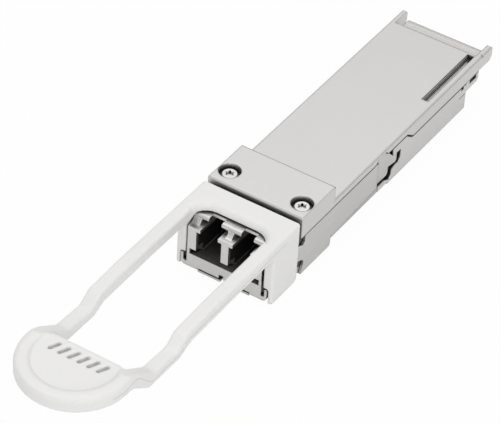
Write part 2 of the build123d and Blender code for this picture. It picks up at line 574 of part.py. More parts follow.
# ---------------------------------------------------------------- release
TONGUE_END = -BLOCK_L - 4.5


def release_slider():
    xo, xi = HALF, HALF - SHEET_T
    low, f = -NOSE_BOTTOM, SLIDER_FRONT
    # one side, flat pattern in the (y, z) plane
    side = [
        (f, -SEAM_FRONT - 1.8), (f + 0.45, -SEAM_FRONT - 1.4), (f + 0.45, -SEAM_FRONT - 0.14),
        (BEND_Y, -SEAM_FRONT - 0.14), (BEND_Y, -BODY_H + 1.65), (-0.3, -BODY_H + 1.05), (-0.45, low + 0.8),
        (-0.65, low), (f, low), (f, low + 1.1), (f + 0.5, -BODY_H + 1.3), (f, -BODY_H + 2.0),
    ]
    panel = side_prism(side, xi, xo)
    # tongue that the pull tab is moulded onto, stepping inwards
    tongue = plan_prism(
        [(xo, f - 0.01), (xo, f + 0.2), (xi, f + 0.2), (xi, f - 0.2), (TONGUE_X, f - 0.95),
         (TONGUE_X, TONGUE_END), (TONGUE_X + 0.42, TONGUE_END), (TONGUE_X + 0.42, f - 1.0)],
        TONGUE_Z0, TONGUE_Z1,
    )
    # plate set inwards behind a soft bend
    plate = side_prism(
        [(BEND_Y - 0.2, -1.54), (BEND_Y + 0.4, -1.5), (BEND_Y + 0.65, PLATE_TOP), (PLATE_Y - 1.75, PLATE_TOP),
         (PLATE_Y - 0.95, -1.5), (PLATE_Y - 0.05, -2.05),
         (PLATE_Y + 0.2, FINGER_Z1), (PLATE_Y + 0.2, FINGER_Z0 + 0.2),
         (PLATE_Y, FINGER_Z0 - 0.25), (PLATE_Y, -BODY_H + 2.4), (PLATE_Y - 0.45, -BODY_H + 1.9),
         (BEND_Y - 0.2, -BODY_H + 1.95)],
        PLATE_X0, PLATE_X1,
    )
    bend = plan_prism(
        [(xo, BEND_Y - 0.01), (xo, BEND_Y), (PLATE_X1, BEND_Y + 0.2), (PLATE_X0, BEND_Y + 0.2),
         (PLATE_X0, BEND_Y - 0.2), (xi, BEND_Y - 0.4), (xi, BEND_Y - 0.01)],
        -BODY_H + 1.95, -1.54,
    )
    # finger that flares back out to the arm's face
    flare = plan_prism(
        [(PLATE_X0, PLATE_Y - 0.1), (PLATE_X1, PLATE_Y - 0.1), (HALF - 0.03, FINGER_Y - 0.2),
         (HALF - 0.1, FINGER_Y), (HALF - 0.45, FINGER_Y), (PLATE_X0 + 0.1, PLATE_Y + 0.9)],
        -6, -1,
    )
    flare &= side_prism(
        [(PLATE_Y - 0.1, FINGER_Z1 + 1.15), (PLATE_Y, FINGER_Z1 + 1.1), (PLATE_Y + 1.05, FINGER_Z1),
         (FINGER_Y - 0.15, FINGER_Z1), (FINGER_Y, FINGER_Z1 - 0.3), (FINGER_Y, FINGER_Z0 + 0.6),
         (FINGER_Y - 0.5, FINGER_Z0), (PLATE_Y - 0.1, FINGER_Z0)],
        xi - 1, xo + 1,
    )
    tip = plate + flare
    # inward tab that pushes the spring
    tab_y = SPRING_Y0 + 7.0
    tab = box(SPRING_X - 0.52, xi + 0.01, tab_y, tab_y + 0.4, SPRING_Z - 0.5, SPRING_Z + 0.5)
    one = panel + tongue + tip + bend + tab
    body = both(one)
    # bottom panel, wrapped under the nose, and its front strip
    body += box(-xo, xo, f, -0.65, low, low + SHEET_T)
    body += box(-STRIP_HALF, STRIP_HALF, -NOSE_L, f + 0.01, low, low + 0.4)
    corners = edges_along_y(body, xo, low) + edges_along_y(body, -xo, low)
    body = fillet(corners, SHEET_T - 0.03)
    body -= box(-0.6, 0.6, -NOSE_L - 1, -NOSE_L + 1.2, low - 1, low + 1)
    return body


DISC_TOP, DISC_LOW = 4.35, 3.0
CHORD_Y = HEAD_Y + 2.9                     # straight edge of the disc, towards the loop
BAR_UNDER = 1.15                           # underside of the bracket's cross bar
DIP_Z0, DIP_Z1 = -1.38, 0.6                # the arms' lowest run
UNDER_Z = 0.1                              # underside of the arms beside the legs
RAMP_Z = HEAD_Z1 - 0.85                    # height of the ramp above the disc's straight edge
ARM_IN = TAB_OUT - ARM_W
ARM_EDGE = 0.3


def tab_arm():
    """Arm with its dip and the ramp into the head's rim, as one rounded outline."""
    h = HEAD_Y
    arm = soft_prism(
        [
            (LEG_FRONT + 0.2, TAB_TOP, 0), (h + 23.9, TAB_TOP, 0), (h + 16.3, TAB_TOP - 0.35, 1.2),
            (h + 13.8, DIP_Z1, 1.4), (h + 7.7, DIP_Z1 + 0.4, 1.8), (CHORD_Y, RAMP_Z, 2.5),
            (h + 1.3, RAMP_Z + 0.8 * (HEAD_Z1 - RAMP_Z), 0), (h + 1.3, HEAD_Z0 + 0.02, 0),
            (h + 1.7, HEAD_Z0 + 0.02, 0), (h + 6.2, DIP_Z0 + 0.06, 1.6), (h + 14.8, DIP_Z0, 1.2),
            (h + 17.3, UNDER_Z - 0.3, 1.2), (h + 29.9, UNDER_Z - 0.05, 0), (LEG_FRONT + 0.2, UNDER_Z, 0),
        ],
        ARM_IN, TAB_OUT,
    )
    sides = [e for e in arm.edges() if min(abs(e.center().X - ARM_IN), abs(e.center().X - TAB_OUT)) < 0.001]
    long_edges = [e for e in sides if h + 1.75 < e.center().Y < LEG_FRONT + 0.1]
    return chamfer(long_edges, ARM_EDGE)


def tab_leg():
    """Leg beside the connector, rounded into the arm's underside."""
    y0, y1 = LEG_FRONT, BRACKET_Y1
    leg = soft_prism(
        [
            (y0, -LEG_BOTTOM, 0), (y1, -LEG_BOTTOM, 1.0), (y1, UNDER_Z + 1, 0),
            (y0 - 1.5, UNDER_Z + 1, 0), (y0 - 1.5, UNDER_Z, 0), (y0, UNDER_Z, 0.5),
        ],
        TAB_OUT - LEG_T, TAB_OUT,
    )
    front = [
        e for e in leg.edges().filter_by(Axis.Z)
        if abs(e.center().Y - y0) < 0.01 and e.center().X > TAB_OUT - 0.01
    ]
    return chamfer(front, ARM_EDGE)


def tab_bracket():
    """Cross bar over the connector, its opening rounded at the rim."""
    b = box(-TAB_OUT, TAB_OUT, LEG_FRONT, BRACKET_Y1, UNDER_Z, TAB_TOP)
    b = chamfer(b.edges().filter_by(Axis.Y).sort_by(Axis.Z)[-2:], ARM_EDGE)
    loop = box(-ARM_IN, ARM_IN, LEG_FRONT - 5, BRACKET_Y0, -FAR, FAR)
    loop = fillet(loop.edges().filter_by(Axis.Z).sort_by(Axis.Y)[-2:], 3.0)
    b -= loop
    rim = [
        e for e in b.edges()
        if e.center().Z > TAB_TOP - 0.01 and abs(e.center().X) < ARM_IN + 0.01
        and LEG_FRONT + 0.01 < e.center().Y < BRACKET_Y0 + 0.01
    ]
    return fillet(rim, 1.1)


def tab_head():
    """Round grip: a rounded rim round a thin disc, cut straight towards the loop."""
    w, h = (HEAD_R - DISC_R) / 2, (HEAD_Z1 - HEAD_Z0) / 2
    soft, low = 0.8, 0.5
    half = [
        (0, -h), (w - low, -h), (w, -h + low), (w, h - soft), (w - 0.3 * soft, h - 0.3 * soft), (w - soft, h)
    ]
    profile = make_face(Polyline(*half, *[(-x, z) for x, z in half[:0:-1]], close=True))
    section = Plane.XZ * Pos((HEAD_R + DISC_R) / 2, (HEAD_Z0 + HEAD_Z1) / 2) * profile
    rim = Pos(0, HEAD_Y, 0) * revolve(section, Axis.Z)
    disc = Pos(0, HEAD_Y, (DISC_TOP + DISC_LOW) / 2) * Cylinder(DISC_R + 0.9, DISC_TOP - DISC_LOW)
    head = rim + disc - box(-FAR, FAR, CHORD_Y, CHORD_Y + FAR, -FAR, FAR)
    # the rim slopes down to meet the arms' ramps
    slope = [(HEAD_Y + 0.9, HEAD_Z1), (CHORD_Y, RAMP_Z), (CHORD_Y + 1, RAMP_Z), (CHORD_Y + 1, HEAD_Z1 + 1)]
    head -= both(side_prism(slope, DISC_R - 0.68, HEAD_R + 1))
    # row of plain slanted slots through the disc
    for i in range(6):
        x = (i - 2.5) * 1.8
        head -= Pos(x, HEAD_Y + 0.7, 3) * Rot(0, 0, -24) * box(-0.38, 0.38, -1.15, 1.15, -3, 3)
    return head


def pull_tab():
    body = tab_bracket() + both(tab_leg() + tab_arm())
    # room for the connector between the legs, clear of its bars over the whole stroke
    inner = TAB_OUT - LEG_T
    front = LEG_FRONT - 0.1
    body -= side_prism(
        [
            (BRACKET_Y1 + 1, BAR_UNDER), (BRACKET_Y1 + 1, -FAR), (front - 1, -FAR),
            (front - 1, -0.6), (front, -0.05), (BAR_Y0 - 0.05, BAR_UNDER),
        ],
        -inner, inner,
    )
    # notches for the lower hooks, and pockets moulded round the slider's tongues
    swept = -NOSE_L + 1.15 + TRAVEL
    body -= pair(inner - 0.05, HOOK_OUT + 0.13, LEG_FRONT - 1, swept, -FAR, HOOK_TOP + 0.15)
    z0, z1 = TONGUE_Z0 - 0.05, TONGUE_Z1 + 0.05
    end, mouth = BRACKET_Y1 + 1, BRACKET_Y1 - 0.1
    pocket = box(TONGUE_X - FIT, TONGUE_X + 0.42 + FIT, TONGUE_END - 0.05, end, z0, z1)
    pocket += box(TONGUE_X - FIT, TONGUE_X + 0.64, mouth, end, z0, z1)
    body -= both(pocket)
    return body + tab_head()


def main():
    os.makedirs("parts", exist_ok=True)
    put("top_shell", top_shell())
    put("bottom_shell", bottom_shell())
    put("lc_face", lc_face())
    put("port_liner", port_liner())
    put("tx_barrel", barrel(-1))
    put("rx_barrel", barrel(1))
    put("emi_gasket", emi_gasket())
    put("optics_clamp", optics_clamp())
    put("tosa_package", optical_package(-1, 11.0))
    put("rosa_package", optical_package(1, 9.0))
    put("tosa_flex", flex(-1, 11.0))
    put("rosa_flex", flex(1, 9.0))
    put("main_pcb", main_pcb())
    put("contacts_top", contacts(True))
    put("contacts_bottom", contacts(False))
    put("dsp_chip", chip(0, DSP_Y, DSP_W, DSP_L, DSP_H))
    put("driver_chip", chip(-2.6, 16.5, 3.4, 3.4, 0.7))
    put("tia_chip", chip(3.0, 16.5, 2.6, 2.6, 0.7))
    put("controller_chip", chip(0, 30.0, 5.0, 5.0, 0.9, top=False))
    put("power_inductor", chip(-2.8, 21.0, 2.6, 2.6, 1.4, top=False))
    put("passives", passives())
    put("thermal_pad_dsp", thermal_pad_dsp())
    put("optics_thermal_pads", optics_thermal_pads())
    put("case_screws", Pos(SCREW_X, SCREW_Y, 0) * case_screw() + Pos(-SCREW_X, SCREW_Y, 0) * case_screw())
    put("return_spring_left", spring(-1))
    put("return_spring_right", spring(1))
    put("release_slider", release_slider())
    put("pull_tab", pull_tab())
    for name, shape in NODES.items():
        export_step(shape, f"parts/{name}.step")
        b = shape.bounding_box()
        print(name, [round(v, 2) for v in (*b.min, *b.max)], round(shape.volume, 1))


main()
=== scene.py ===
"""Optical transceiver module with a duplex socket and a moulded pull tab, dressed round its CAD frame."""
import math

import bpy
from mathutils import Matrix, Vector


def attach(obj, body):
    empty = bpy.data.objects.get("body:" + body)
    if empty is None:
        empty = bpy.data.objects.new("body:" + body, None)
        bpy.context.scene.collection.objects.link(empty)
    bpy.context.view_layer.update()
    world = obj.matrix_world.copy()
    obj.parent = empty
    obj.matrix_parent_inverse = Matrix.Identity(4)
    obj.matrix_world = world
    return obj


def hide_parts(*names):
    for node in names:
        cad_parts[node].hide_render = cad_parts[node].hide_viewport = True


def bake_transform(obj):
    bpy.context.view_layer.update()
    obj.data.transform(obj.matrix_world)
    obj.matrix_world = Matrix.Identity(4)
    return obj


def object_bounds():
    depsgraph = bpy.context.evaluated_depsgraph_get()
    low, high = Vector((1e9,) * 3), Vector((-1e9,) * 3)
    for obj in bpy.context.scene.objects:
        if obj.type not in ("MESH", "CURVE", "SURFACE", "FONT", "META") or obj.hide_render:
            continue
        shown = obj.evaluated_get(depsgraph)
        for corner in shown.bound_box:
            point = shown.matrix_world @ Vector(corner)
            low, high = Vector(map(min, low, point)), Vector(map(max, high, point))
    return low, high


bl_info = {
    "name": "Optical Transceiver Module",
    "version": (1, 0, 0),
    "blender": (4, 5, 0),
    "location": "View3D > Sidebar > Transceiver",
    "description": "Finishes the shells, socket, pull tab and electronics of a pluggable optical module",
    "category": "Object",
}

MM = 0.001
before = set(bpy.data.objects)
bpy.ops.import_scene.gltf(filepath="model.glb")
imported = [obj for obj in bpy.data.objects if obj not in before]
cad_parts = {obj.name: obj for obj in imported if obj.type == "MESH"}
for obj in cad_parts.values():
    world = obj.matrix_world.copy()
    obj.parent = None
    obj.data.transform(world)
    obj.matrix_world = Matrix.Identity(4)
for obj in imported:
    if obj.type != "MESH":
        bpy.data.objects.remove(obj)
cad_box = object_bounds()

# ------------------------------------------------------------------ sizes and places
# The shoulder, where the screw block ends, and the plane of the flat top are places in the frame. Every
# other y is counted backwards from the shoulder and every other z upwards from the flat top, unless its
# comment says otherwise.
SHOULDER_Y = 8.525 * MM
ROOF_Z = 9.7 * MM
HALF_W = 9.175 * MM                     # half the width of the body
BLOCK_L = 10.1 * MM                     # length of the screw block, ahead of the shoulder

# The serrated rear lip, between the pocket and the right ear.
LIP_X = (-6.6 * MM, 8.15 * MM)
LIP_Y = (49.2 * MM, 50.36 * MM)
LIP_Z = -0.21 * MM
TOOTH_SHARE = 0.55                      # width of a tooth, as a share of the pitch
TOOTH_Z = (LIP_Z - 0.12 * MM, LIP_Z + 0.03 * MM)
TOOTH_BEVEL = 0.02 * MM

# The keying slot in the right side of the top, with two ledges on its inner wall.
SLOT_X = 6.8 * MM
SLOT_Y = (31.95 * MM, 47.75 * MM)
LEDGES = {"upper": (0.3 * MM, 0.14 * MM), "lower": (0.66 * MM, 0.2 * MM)}   # depth of its top, and reach
LEDGE_H = 0.13 * MM                     # height of a ledge
LEDGE_ROOT = 0.02 * MM                  # how far a ledge goes into its wall
LEDGE_BEVEL = 0.03 * MM

# The two ports, with a rail at the foot of each wall.
PORT_X = (0.69 * MM, 5.56 * MM)         # inner and outer side of each port
PORT_FLOOR_Z = -6.6 * MM
PORT_WALLS = {                          # place of each wall, and the side of it that its port is on
    "tx_outer": (-PORT_X[1], 1),
    "tx_inner": (-PORT_X[0], -1),
    "rx_inner": (PORT_X[0], 1),
    "rx_outer": (PORT_X[1], -1),
}
RAIL_X = (0.03 * MM, 0.22 * MM)         # near and far side of a rail, from its wall
RAIL_Y = (-16.5 * MM, -9.5 * MM)
RAIL_Z = (PORT_FLOOR_Z - 0.02 * MM, PORT_FLOOR_Z + 0.1 * MM)
RAIL_BEVEL = 0.03 * MM

# The pull tab and the notches in it for the lower hooks.
TAB_OUT = 9.4 * MM                      # outer half width
NOTCH_X = (7.3 * MM, 8.7 * MM)          # both sides of a notch
NOTCH_Y = -15.5 * MM                    # its rear wall
NOTCH_Z = -6.6 * MM                     # its top
NOTCH_NEAR = 0.3 * MM                   # a face this close to the rear wall's place is part of it

# The mould's parting line along each flank: level along the arm, down into the dip, and up to the
# middle of the head. Each step has the two y between which it runs and the height that it gives at
# each, and the heights of the two steps add up to the line's z in the frame.
PARTING_STEPS = (
    ((-45.5 * MM, -42.0 * MM), (ROOF_Z - 0.25 * MM, ROOF_Z + 1.12 * MM)),
    ((-57.5 * MM, -52.5 * MM), (3.6 * MM, 0.0)),
)
PARTING_END_Y = -14.9 * MM              # where the arm meets the bracket
PARTING_DEPTH = 0.35 * MM               # how far in from the flank the line is drawn
PARTING_STRENGTH = 0.3
PARTING_TONE = (0.2, 0.2, 0.2)

# The side seam between the two shells, which steps down past the latch window.
SEAM_Z = (-1.4 * MM, -2.87 * MM)        # ahead of its step and behind it
SEAM_STEP_Y = (23.5 * MM, 25.6 * MM)
SEAM_DEPTH = 0.2 * MM                   # how far in from the side its shade reaches

# Places that keep the light out: the screw block's rear edge, which rounds over into the step, the deep
# latch windows, and the bend of each slider arm in to its plate. Limits of |x|, y and z, with soft ends.
BEND_Y = 14.2 * MM
STEP_EDGE = {
    "strength": 0.6, "x": (-1.0, 1.0), "y": (-0.3 * MM, 0.5 * MM), "z": (2.6 * MM, 4.0 * MM),
    "soft": 0.1 * MM,
}
LATCH_WINDOWS = {
    "strength": 0.85, "x": (7.5 * MM, 9.12 * MM), "y": (-11.0 * MM, 40.0 * MM), "z": (-8.2 * MM, -1.35 * MM),
    "soft": 0.2 * MM,
}
SLIDER_BEND = {
    "strength": 0.45, "x": (8.0 * MM, 10.0 * MM), "y": (BEND_Y - 0.2 * MM, BEND_Y + 0.25 * MM),
    "z": (-8.0 * MM, 0.0), "soft": 0.12 * MM,
}
SHADE_TONE = (0.015, 0.015, 0.015)

# What all finishes have in common.
# painted highlight: how much of the lighter colour shows on rounded edges
PAINTED_EDGE_HIGHLIGHT = 0.8                         # share of the lighter edge that shows
EDGE_TURN = (0.995, 0.85)               # cosine of a normal's turn where an edge starts and where it is full
ROUGHNESS_SPREAD = 0.1                  # share by which the grain changes the roughness
CLOUD_TONE = 0.5                        # share of the colour that a full cloud keeps
# painted shade: the tone towards which gaps, pockets and the side seam are darkened
PAINTED_SHADE_TONE = 0.02                         # share of the colour that a full gap keeps

# Limits for work on meshes.
WELD = 0.002 * MM                       # corners closer than this are one
FLAT_TURN = math.radians(0.6)           # faces that turn less than this are one flat face
SMOOTH_TURN = math.radians(40)          # edges that turn less than this are shaded round
LEVEL_NEAR = 0.02 * MM                  # a face this close to a level lies on it
UPWARD = 0.9                            # least z of the normal of a face that looks up

# The studio. Lamps have a place and a side in metres, and a power in watts.
SOFTBOXES = {
    "softbox_top": ((-0.25, 0.25, 0.75), 0.7, 0.9),
    "softbox_front": ((0.35, -0.75, 0.35), 0.6, 1.4),
    "softbox_side": ((0.85, -0.2, 0.35), 0.5, 0.9),
}
FLOOR_SIDE = 6.0
FLOOR_GAP = 0.02 * MM                   # between the floor and the part's underside
FLOOR_WHITE = 0.96                      # share of plain white that the camera sees in the floor
FLOOR_IN_METAL = 0.42                   # how much of that white a reflection shows
AIR_RISE = (0.05, 0.5)                  # z of the directions between which the air grows lighter
AIR_LIGHT = (0.18, 0.84)                # its strength in both
SENSOR_W = 36.0                         # millimetres
CLIP = (0.01, 20.0)


# ------------------------------------------------------------------ nodes
def set_inputs(tree, node, values):
    """Sets a node's inputs by name, each to a plain value or to another node's socket."""
    for key, value in values.items():
        socket = node.inputs[key.replace("_", " ")]
        if isinstance(value, bpy.types.NodeSocket):
            tree.links.new(value, socket)
        else:
            socket.default_value = value


def put_node(tree, kind, **values):
    """A node whose properties and inputs are set by name."""
    node = tree.nodes.new(kind)
    for key in [key for key in values if hasattr(node, key)]:
        setattr(node, key, values.pop(key))
    set_inputs(tree, node, values)
    return node


def worked(tree, operation, first, second=None):
    """The result of one sum on a socket, with a second socket or a plain number."""
    node = put_node(tree, "ShaderNodeMath", operation=operation)
    tree.links.new(first, node.inputs[0])
    if isinstance(second, bpy.types.NodeSocket):
        tree.links.new(second, node.inputs[1])
    elif second is not None:
        node.inputs[1].default_value = second
    return node.outputs["Value"]


def times(tree, first, second):
    """The product of a socket with a second socket or a plain number."""
    return worked(tree, "MULTIPLY", first, second)


def ranged(tree, value, **limits):
    """A value taken from one range to another; each runs from 0 to 1 unless its limits are given."""
    return put_node(tree, "ShaderNodeMapRange", Value=value, **limits).outputs["Result"]


def within(tree, value, low, high, soft):
    """1 between two coordinates and 0 outside them, with soft ends."""
    rise = ranged(tree, value, From_Min=low, From_Max=low + soft)
    fall = ranged(tree, value, From_Min=high - soft, From_Max=high, To_Min=1.0, To_Max=0.0)
    return times(tree, rise, fall)


def mixed(tree, factor, first, second):
    """The colour between two at a factor; the first may be another node's socket."""
    ends = [end if isinstance(end, bpy.types.NodeSocket) else (*end[:3], 1.0) for end in (first, second)]
    mix = put_node(tree, "ShaderNodeMix", data_type="RGBA", Factor=factor, A=ends[0], B=ends[1])
    return mix.outputs["Result"]


def object_place(tree):
    """A socket with the place on the piece."""
    return tree.nodes.new("ShaderNodeTexCoord").outputs["Object"]


def group_tree(name, inputs, outputs):
    """An empty shader group with named float, vector or colour sockets, or the one already made."""
    if name in bpy.data.node_groups:
        return bpy.data.node_groups[name], None, None
    tree = bpy.data.node_groups.new(name, "ShaderNodeTree")
    for label, kind, value in inputs:
        socket = tree.interface.new_socket(label, in_out="INPUT", socket_type="NodeSocket" + kind)
        if value is not None:
            socket.default_value = value
    for label, kind in outputs:
        tree.interface.new_socket(label, in_out="OUTPUT", socket_type="NodeSocket" + kind)
    return tree, tree.nodes.new("NodeGroupInput"), tree.nodes.new("NodeGroupOutput")


# ------------------------------------------------------------------ shared effects
def blasted_grain():
    """Fine pits of a bead-blasted or spark-eroded face, with a slow cloud of shade under them."""
    tree, given, made = group_tree(
        "Blasted Grain",
        [("Vector", "Vector", None), ("Scale", "Float", 5000.0), ("Cloud Scale", "Float", 90.0)],
        [("Height", "Float"), ("Shade", "Float"), ("Cloud", "Float")],
    )
    if given is None:
        return tree
    place = given.outputs["Vector"]
    fine = put_node(tree, "ShaderNodeTexNoise", Vector=place, Scale=given.outputs["Scale"], Detail=3.0,
                    Roughness=0.65)
    cloud = put_node(tree, "ShaderNodeTexNoise", Vector=place, Scale=given.outputs["Cloud Scale"], Detail=2.0,
                     Roughness=0.5)
    spread = ranged(tree, fine.outputs["Fac"], From_Min=0.3, From_Max=0.7)
    set_inputs(tree, made, {"Height": fine.outputs["Fac"], "Shade": spread, "Cloud": cloud.outputs["Fac"]})
    return tree


def soft_edges():
    """The normal of a slightly rounded edge, and a mask that is 1 on the edge itself, where a painted
    highlight goes.
    """
    tree, given, made = group_tree(
        "Soft Edges",
        [("Radius", "Float", 0.1 * MM)],
        [("Normal", "Vector"), ("Mask", "Float")],
    )
    if given is None:
        return tree
    bevel = put_node(tree, "ShaderNodeBevel", samples=6, Radius=given.outputs["Radius"])
    flat = tree.nodes.new("ShaderNodeNewGeometry")
    turn = put_node(tree, "ShaderNodeVectorMath", operation="DOT_PRODUCT")
    tree.links.new(bevel.outputs["Normal"], turn.inputs[0])
    tree.links.new(flat.outputs["Normal"], turn.inputs[1])
    mask = ranged(tree, turn.outputs["Value"], From_Min=EDGE_TURN[0], From_Max=EDGE_TURN[1])
    set_inputs(tree, made, {"Normal": bevel.outputs["Normal"], "Mask": mask})
    return tree


def drawn_lines():
    """Long fine lines along one axis, as rolling or grinding leaves them."""
    tree, given, made = group_tree(
        "Drawn Lines",
        [("Vector", "Vector", None), ("Stretch", "Vector", (6000.0, 120.0, 6000.0))],
        [("Height", "Float"), ("Shade", "Float")],
    )
    if given is None:
        return tree
    scaled = put_node(tree, "ShaderNodeVectorMath", operation="MULTIPLY")
    tree.links.new(given.outputs["Vector"], scaled.inputs[0])
    tree.links.new(given.outputs["Stretch"], scaled.inputs[1])
    lines = put_node(tree, "ShaderNodeTexNoise", Vector=scaled.outputs["Vector"], Scale=1.0, Detail=2.0,
                     Roughness=0.6)
    spread = ranged(tree, lines.outputs["Fac"], From_Min=0.35, From_Max=0.65)
    set_inputs(tree, made, {"Height": lines.outputs["Fac"], "Shade": spread})
    return tree


def painted_crevice_shade():
    """Painted shade: a mask that is 1 deep in a gap or pocket, where shade falls, and 0 on an open face."""
    tree, given, made = group_tree(
        "Painted Crevice Shade",
        [("Distance", "Float", 0.8 * MM), ("Open", "Float", 0.8), ("Closed", "Float", 0.2)],
        [("Mask", "Float")],
    )
    if given is None:
        return tree
    open_air = put_node(tree, "ShaderNodeAmbientOcclusion", samples=16, Distance=given.outputs["Distance"])
    mask = ranged(tree, open_air.outputs["AO"], From_Min=given.outputs["Open"],
                  From_Max=given.outputs["Closed"])
    set_inputs(tree, made, {"Mask": mask})
    return tree


def seam_shadow():
    """A mask along the side seam between the two shells, full to half the width and gone at the width."""
    tree, given, made = group_tree(
        "Seam Shadow",
        [("Vector", "Vector", None), ("Width", "Float", 0.2 * MM)],
        [("Mask", "Float")],
    )
    if given is None:
        return tree
    width = given.outputs["Width"]
    parts = put_node(tree, "ShaderNodeSeparateXYZ", Vector=given.outputs["Vector"])
    seam = ranged(
        tree, parts.outputs["Y"], From_Min=SHOULDER_Y + SEAM_STEP_Y[0], From_Max=SHOULDER_Y + SEAM_STEP_Y[1],
        To_Min=ROOF_Z + SEAM_Z[0], To_Max=ROOF_Z + SEAM_Z[1],
    )
    away = worked(tree, "ABSOLUTE", worked(tree, "SUBTRACT", parts.outputs["Z"], seam))
    near = ranged(
        tree, away, interpolation_type="SMOOTHSTEP", From_Min=times(tree, width, 0.5), From_Max=width,
        To_Min=1.0, To_Max=0.0,
    )
    side = worked(tree, "ABSOLUTE", parts.outputs["X"])
    outer = worked(tree, "GREATER_THAN", side, HALF_W - SEAM_DEPTH)
    set_inputs(tree, made, {"Mask": times(tree, near, outer)})
    return tree


def parting_line():
    """A mask that is 1 on the mould's parting line along the outer flanks of the pull tab."""
    tree, given, made = group_tree(
        "Parting Line",
        [("Vector", "Vector", None), ("Width", "Float", 0.09 * MM)],
        [("Mask", "Float")],
    )
    if given is None:
        return tree
    parts = put_node(tree, "ShaderNodeSeparateXYZ", Vector=given.outputs["Vector"])
    steps = [
        ranged(
            tree, parts.outputs["Y"], interpolation_type="SMOOTHSTEP", From_Min=SHOULDER_Y + start,
            From_Max=SHOULDER_Y + end, To_Min=low, To_Max=high,
        )
        for (start, end), (low, high) in PARTING_STEPS
    ]
    height = worked(tree, "ADD", *steps)
    away = worked(tree, "ABSOLUTE", worked(tree, "SUBTRACT", parts.outputs["Z"], height))
    near = worked(tree, "LESS_THAN", away, given.outputs["Width"])
    side = worked(tree, "ABSOLUTE", parts.outputs["X"])
    outer = worked(tree, "GREATER_THAN", side, TAB_OUT - PARTING_DEPTH)
    ahead = worked(tree, "LESS_THAN", parts.outputs["Y"], SHOULDER_Y + PARTING_END_Y)
    set_inputs(tree, made, {"Mask": times(tree, times(tree, near, outer), ahead)})
    return tree


# ------------------------------------------------------------------ materials
def lighter(colour, factor):
    """A colour made lighter, or darker by a factor under 1."""
    return tuple(min(1.0, share * factor) for share in tuple(colour)[:3])


def finish_material(name, colour, metallic, roughness, grain=5000.0, contrast=0.06, bump=0.02,
                    edge=0.1, edge_light=1.12, cloud=0.03, stretch=None, coat=0.0, specular=0.5,
                    crevice=0.8, crevice_dark=0.85, crevice_range=(0.8, 0.2), seam=0.0):
    """A material with fine grain or drawn lines, a slow cloud of shade, painted highlights on slightly
    rounded edges and painted shade in gaps.

    contrast is the share by which the grain lightens and darkens the colour, bump the height of the
    grain in millimetres, edge the radius of the rounded edges in millimetres and edge_light the factor of
    their painted highlight, crevice the width in millimetres of the gaps that take painted shade and
    crevice_dark the share of the colour that they lose.
    crevice_range gives how open a place is where the shade starts and where it is full, stretch the
    number of drawn lines in a metre along each axis, and seam the strength of the shade along the
    side seam.
    """
    material = bpy.data.materials.new(name)
    material.use_nodes = True
    tree = material.node_tree
    place = object_place(tree)
    grained = put_node(tree, "ShaderNodeGroup", node_tree=blasted_grain(), Vector=place, Scale=grain)
    pattern = grained
    if stretch:
        pattern = put_node(tree, "ShaderNodeGroup", node_tree=drawn_lines(), Vector=place, Stretch=stretch)
    shade = pattern.outputs["Shade"]
    look = mixed(tree, shade, lighter(colour, 1 - contrast), lighter(colour, 1 + contrast))
    clouded = ranged(tree, grained.outputs["Cloud"], To_Min=0.0, To_Max=2 * cloud)
    look = mixed(tree, clouded, look, lighter(colour, CLOUD_TONE))
    edges = put_node(tree, "ShaderNodeGroup", node_tree=soft_edges(), Radius=edge * MM)
    # painted highlight along the rounded edges
    look = mixed(tree, times(tree, edges.outputs["Mask"], PAINTED_EDGE_HIGHLIGHT), look, lighter(colour, edge_light))
    if seam:
        line = put_node(tree, "ShaderNodeGroup", node_tree=seam_shadow(), Vector=place)
        look = mixed(tree, times(tree, line.outputs["Mask"], seam), look, lighter(colour, PAINTED_SHADE_TONE))
    # painted shade deep in gaps and pockets, from how open each place is
    gaps = put_node(tree, "ShaderNodeGroup", node_tree=painted_crevice_shade(), Distance=crevice * MM,
                    Open=crevice_range[0], Closed=crevice_range[1])
    look = mixed(tree, times(tree, gaps.outputs["Mask"], crevice_dark), look, lighter(colour, PAINTED_SHADE_TONE))
    relief = put_node(tree, "ShaderNodeBump", Strength=1.0, Distance=bump * MM,
                      Height=pattern.outputs["Height"], Normal=edges.outputs["Normal"])
    uneven = ranged(tree, shade, To_Min=roughness * (1 - ROUGHNESS_SPREAD),
                    To_Max=roughness * (1 + ROUGHNESS_SPREAD))
    set_inputs(tree, tree.nodes["Principled BSDF"], {
        "Base Color": look,
        "Roughness": uneven,
        "Normal": relief.outputs["Normal"],
        "Metallic": metallic,
        "Specular IOR Level": specular,
        "Coat Weight": coat,
    })
    return material


def tint(material, mask, tone):
    """Turns the colour that a material has so far towards a plain tone, by a mask."""
    tree = material.node_tree
    base = tree.nodes["Principled BSDF"].inputs["Base Color"]
    tree.links.new(mixed(tree, mask, base.links[0].from_socket, tone), base)


def shade_zone(material, strength, x, y, z, soft):
    """Darkens a material between limits of |x|, y and z, where a pocket or a bend keeps the light out."""
    tree = material.node_tree
    parts = put_node(tree, "ShaderNodeSeparateXYZ", Vector=object_place(tree))
    mask = within(tree, worked(tree, "ABSOLUTE", parts.outputs["X"]), *x, soft)
    for axis, start, (low, high) in (("Y", SHOULDER_Y, y), ("Z", ROOF_Z, z)):
        mask = times(tree, mask, within(tree, parts.outputs[axis], start + low, start + high, soft))
    tint(material, times(tree, mask, strength), SHADE_TONE)


# ------------------------------------------------------------------ modelling
def only(piece):
    """Leaves one piece selected and active."""
    bpy.ops.object.select_all(action="DESELECT")
    piece.select_set(True)
    bpy.context.view_layer.objects.active = piece


def apply_modifier(piece, kind, **values):
    """Adds a modifier with the values given, and applies it."""
    only(piece)
    modifier = piece.modifiers.new(kind.lower(), kind)
    for key, value in values.items():
        setattr(modifier, key, value)
    bpy.ops.object.modifier_apply(modifier=modifier.name)


